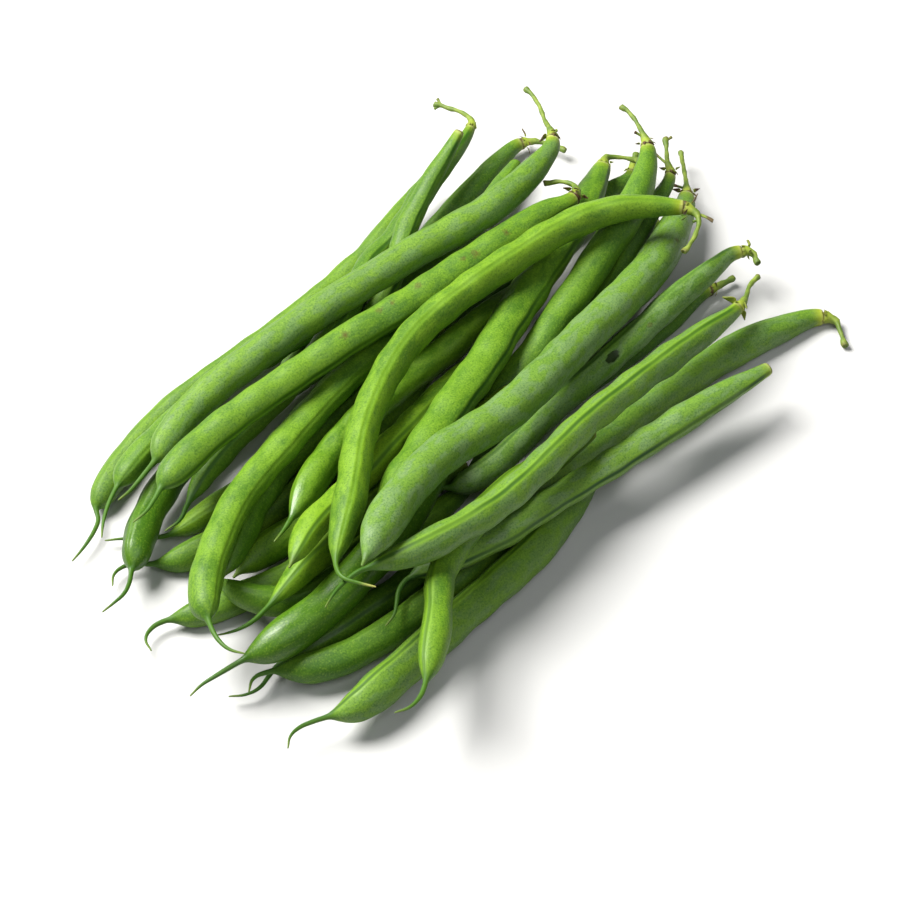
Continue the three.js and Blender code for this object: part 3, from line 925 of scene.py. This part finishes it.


# How each pod's skin looks: lime is how yellow its green is, bloom how grey and matte, dark how
# much darker it is all over, partly its own deeper green and partly painted shade on pods that lie
# under others, band and line how strong its seams show, neck and rim how pale its stem end is,
# rough how dull and gloss how strong its shine is, tip and scar how its two ends are coloured,
# seeds how clearly they swell it, and turn how many degrees its seams lie round from those of its
# solid.
# marks are brown spots: mm from the stem end, degrees from the upper seam, and width in mm. holes
# are set the same way, with their length and width in mm.
COMMON_LOOK = {
    "lime": 0.35, "bloom": 0.15, "dark": 0.0, "band": 0.2, "line": 0.3, "neck": 0.35, "rim": 0.25,
    "rough": 0.45, "gloss": 0.3, "tip": 0.2, "scar": 0.8, "seeds": 0.3, "turn": 0,
    "marks": (), "holes": (),
}
LOOKS = {
    2: {"lime": 0.5, "bloom": 0},
    3: {"lime": 0.5, "bloom": 0.05, "dark": 0.1},
    4: {"lime": 0.8, "bloom": 0.05},
    5: {"lime": 0.1, "bloom": 0, "line": 0.8, "dark": 0.3},
    6: {"lime": 0.4, "bloom": 0.4, "band": 0.8, "line": 0.8, "marks": ((106, -74, 1.2),)},
    7: {"lime": 0.1, "dark": 0.3},
    8: {"lime": 0.1, "dark": 0.3},
    9: {"lime": 0.15, "bloom": 0.4, "dark": 0.1},
    10: {"lime": 0.55, "bloom": 0.3, "seeds": 0.1},
    11: {"lime": 0.15, "gloss": 0.4, "rough": 0.28, "bloom": 0.05, "dark": 0.45},
    12: {"lime": 0.2, "bloom": 0.05, "dark": 0.15},
    13: {"lime": 0.2, "bloom": 0.1, "line": 0.8, "dark": 0.2},
    14: {"lime": 0.05, "bloom": 0.3, "dark": 0.2},
    15: {"lime": 0.2, "bloom": 0, "dark": 0.2},
    16: {"lime": 0.1, "dark": 0.1},
    17: {"neck": 0, "rim": 0},
    18: {"lime": 0.45, "bloom": 0.55, "neck": 0.9, "seeds": 0.6},
    19: {"lime": 0.3, "bloom": 0.1},
    20: {"lime": 1.0, "band": 0.9, "line": 0.7, "bloom": 0, "seeds": 0.8},
    21: {"lime": 0.45, "gloss": 0.5, "rough": 0.32, "bloom": 0},
    22: {"lime": 0.45, "line": 0.9, "bloom": 0.1, "dark": 0.15},
    23: {
        "lime": 0.5, "line": 0.8, "band": 0.4,
        "marks": (
            (27.5, 63, 2.0), (39.9, 64, 2.6), (44, 70, 1.6), (60.9, 81, 2.2), (71, 76, 1.4),
            (75.3, 81, 2.0), (88.5, 64, 2.4),
        ),
    },
    24: {"lime": 0.6, "bloom": 0.6, "neck": 0.6, "rim": 0.5, "seeds": 0.1},
    25: {"lime": 0.55, "bloom": 0.05, "band": 0.3},
    26: {"lime": 0.2, "bloom": 0},
    27: {"lime": 1.0, "band": 0.9, "line": 0.7, "bloom": 0},
    28: {"lime": 0.15, "gloss": 0.35, "rough": 0.28, "bloom": 0, "dark": 0.45},
    29: {"lime": 0.4, "bloom": 0.05, "line": 0.9, "seeds": 0.5, "marks": ((74.3, -33, 1.6),)},
    30: {
        "lime": 0.25, "bloom": 0.9, "neck": 0.8, "line": 0.7,
        "marks": ((40.6, -50, 1.6), (87.5, -122, 1.8)), "holes": ((55.8, -44, 5.6, 3.0),),
    },
    31: {"lime": 0.5, "bloom": 0.8, "line": 1.0, "band": 0.5, "seeds": 0.9},
    32: {"lime": 0.45, "bloom": 0.05, "band": 0.7, "line": 0.6, "seeds": 0.6},
    33: {
        "lime": 0.42, "bloom": 0.85, "band": 0.1, "line": 0.1, "tip": 0.1,
        "marks": ((25.3, -104, 1.5),),
    },
    34: {"lime": 0.5, "bloom": 0.6, "band": 0.75, "line": 0.85, "seeds": 0.9},
    35: {
        "lime": 0.75, "bloom": 0.05, "band": 0.45, "line": 0.3, "neck": 0.7, "rim": 0.4, "tip": 1.0,
        "seeds": 0, "turn": -88,
    },
}


# ---------------------------------------------------------------- the bundle

pod_ring, thin_ring, leaf = seam_ring(), stalk_ring(), sepal()
for node in sorted(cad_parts):
    name, part = node.rsplit("_", 1)
    number = int(name.rsplit("_", 1)[1])
    line = Line(node)
    if part == "pod":
        look = {**COMMON_LOOK, **LOOKS.get(number, {}), "number": number}
        piece = pod(name, line, pod_ring, look)
        finish = pod_finish(name + "_skin", line, look)
    else:
        piece = stem(name, number, line, thin_ring, leaf)
        finish = stalk_finish(name + "_stalk", line, STEM_GROWTH[number]["dry"])
    piece.data.materials.clear()
    piece.data.materials.append(finish)
    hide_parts(node)
    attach(piece, "root")
for master in (pod_ring, thin_ring, leaf):
    bpy.data.objects.remove(master)


# ---------------------------------------------------------------- floor, light and camera

FLOOR_SIZE = 6
FLOOR_DIM = shade(0.50, 0.50, 0.495)
FLOOR_PALE = shade(0.54, 0.54, 0.54)
FLOOR_CLOUDS = (3, 2)  # scale and detail of its faint unevenness
FLOOR_ROUGH = 0.6

# The two lamps: how far to the right, forward and up each stands from the heap, as the camera sees
# it, and how wide, strong and warm it is.
KEY_LAMP = {"stand": (-0.6, 0.3, 1.08), "size": 0.8, "power": 44, "tint": (1, 0.985, 0.95)}
FILL_LAMP = {"stand": (0.4, -0.6, 1.1), "size": 1.0, "power": 6, "tint": (0.96, 0.98, 1)}
ROOM_LIGHT = 0.08


def floor():
    deselect()
    bpy.ops.mesh.primitive_plane_add(size=FLOOR_SIZE, location=(0, 0, 0))
    piece = bpy.context.object
    piece.name = "floor"
    finish = Finish("pale_floor", FLOOR_DIM)
    finish.paint(finish.noise(finish.place, *FLOOR_CLOUDS), FLOOR_PALE)
    piece.data.materials.append(finish.surface(Roughness=FLOOR_ROUGH))


def view_axes():
    """Right, up and back of the camera."""
    right = Vector((cos(CAMERA_AZIMUTH), sin(CAMERA_AZIMUTH), 0))
    level, height = cos(CAMERA_ELEVATION), sin(CAMERA_ELEVATION)
    back = Vector((sin(CAMERA_AZIMUTH) * level, -cos(CAMERA_AZIMUTH) * level, height))
    up = back.cross(right)
    turn, lean = cos(CAMERA_ROLL), sin(CAMERA_ROLL)
    return turn * right + lean * up, turn * up - lean * right, back


def camera():
    data = bpy.data.cameras.new("camera")
    data.lens, data.sensor_width = LENS, SENSOR
    data.clip_start, data.clip_end = NEAREST_SEEN, FARTHEST_SEEN
    piece = bpy.data.objects.new("camera", data)
    axes = Matrix(view_axes()).transposed().to_4x4()
    piece.matrix_world = Matrix.Translation(CAMERA_EYE) @ axes
    bpy.context.scene.collection.objects.link(piece)
    bpy.context.scene.camera = piece


def lamp(name, stand, size, power, tint):
    """A round lamp that is aimed at the middle of the heap."""
    right, _, back = view_axes()
    side = Vector((right.x, right.y, 0)).normalized()
    forward = Vector((-back.x, -back.y, 0)).normalized()
    place = stand[0] * side + stand[1] * forward + stand[2] * UP
    data = bpy.data.lights.new(name, "AREA")
    data.shape, data.size, data.energy, data.color = "DISK", size, power, tint
    piece = bpy.data.objects.new(name, data)
    aim = place.normalized().to_track_quat("Z", "Y")
    piece.matrix_world = Matrix.Translation(place) @ aim.to_matrix().to_4x4()
    bpy.context.scene.collection.objects.link(piece)


def room():
    """Soft light from all round."""
    world = bpy.data.worlds.new("studio")
    world.use_nodes = True
    background = world.node_tree.nodes["Background"]
    background.inputs["Color"].default_value = shade(1, 1, 1)
    background.inputs["Strength"].default_value = ROOM_LIGHT
    bpy.context.scene.world = world
    bpy.context.scene.view_settings.view_transform = "Standard"


floor()
camera()
lamp("key", **KEY_LAMP)
lamp("fill", **FILL_LAMP)
room()
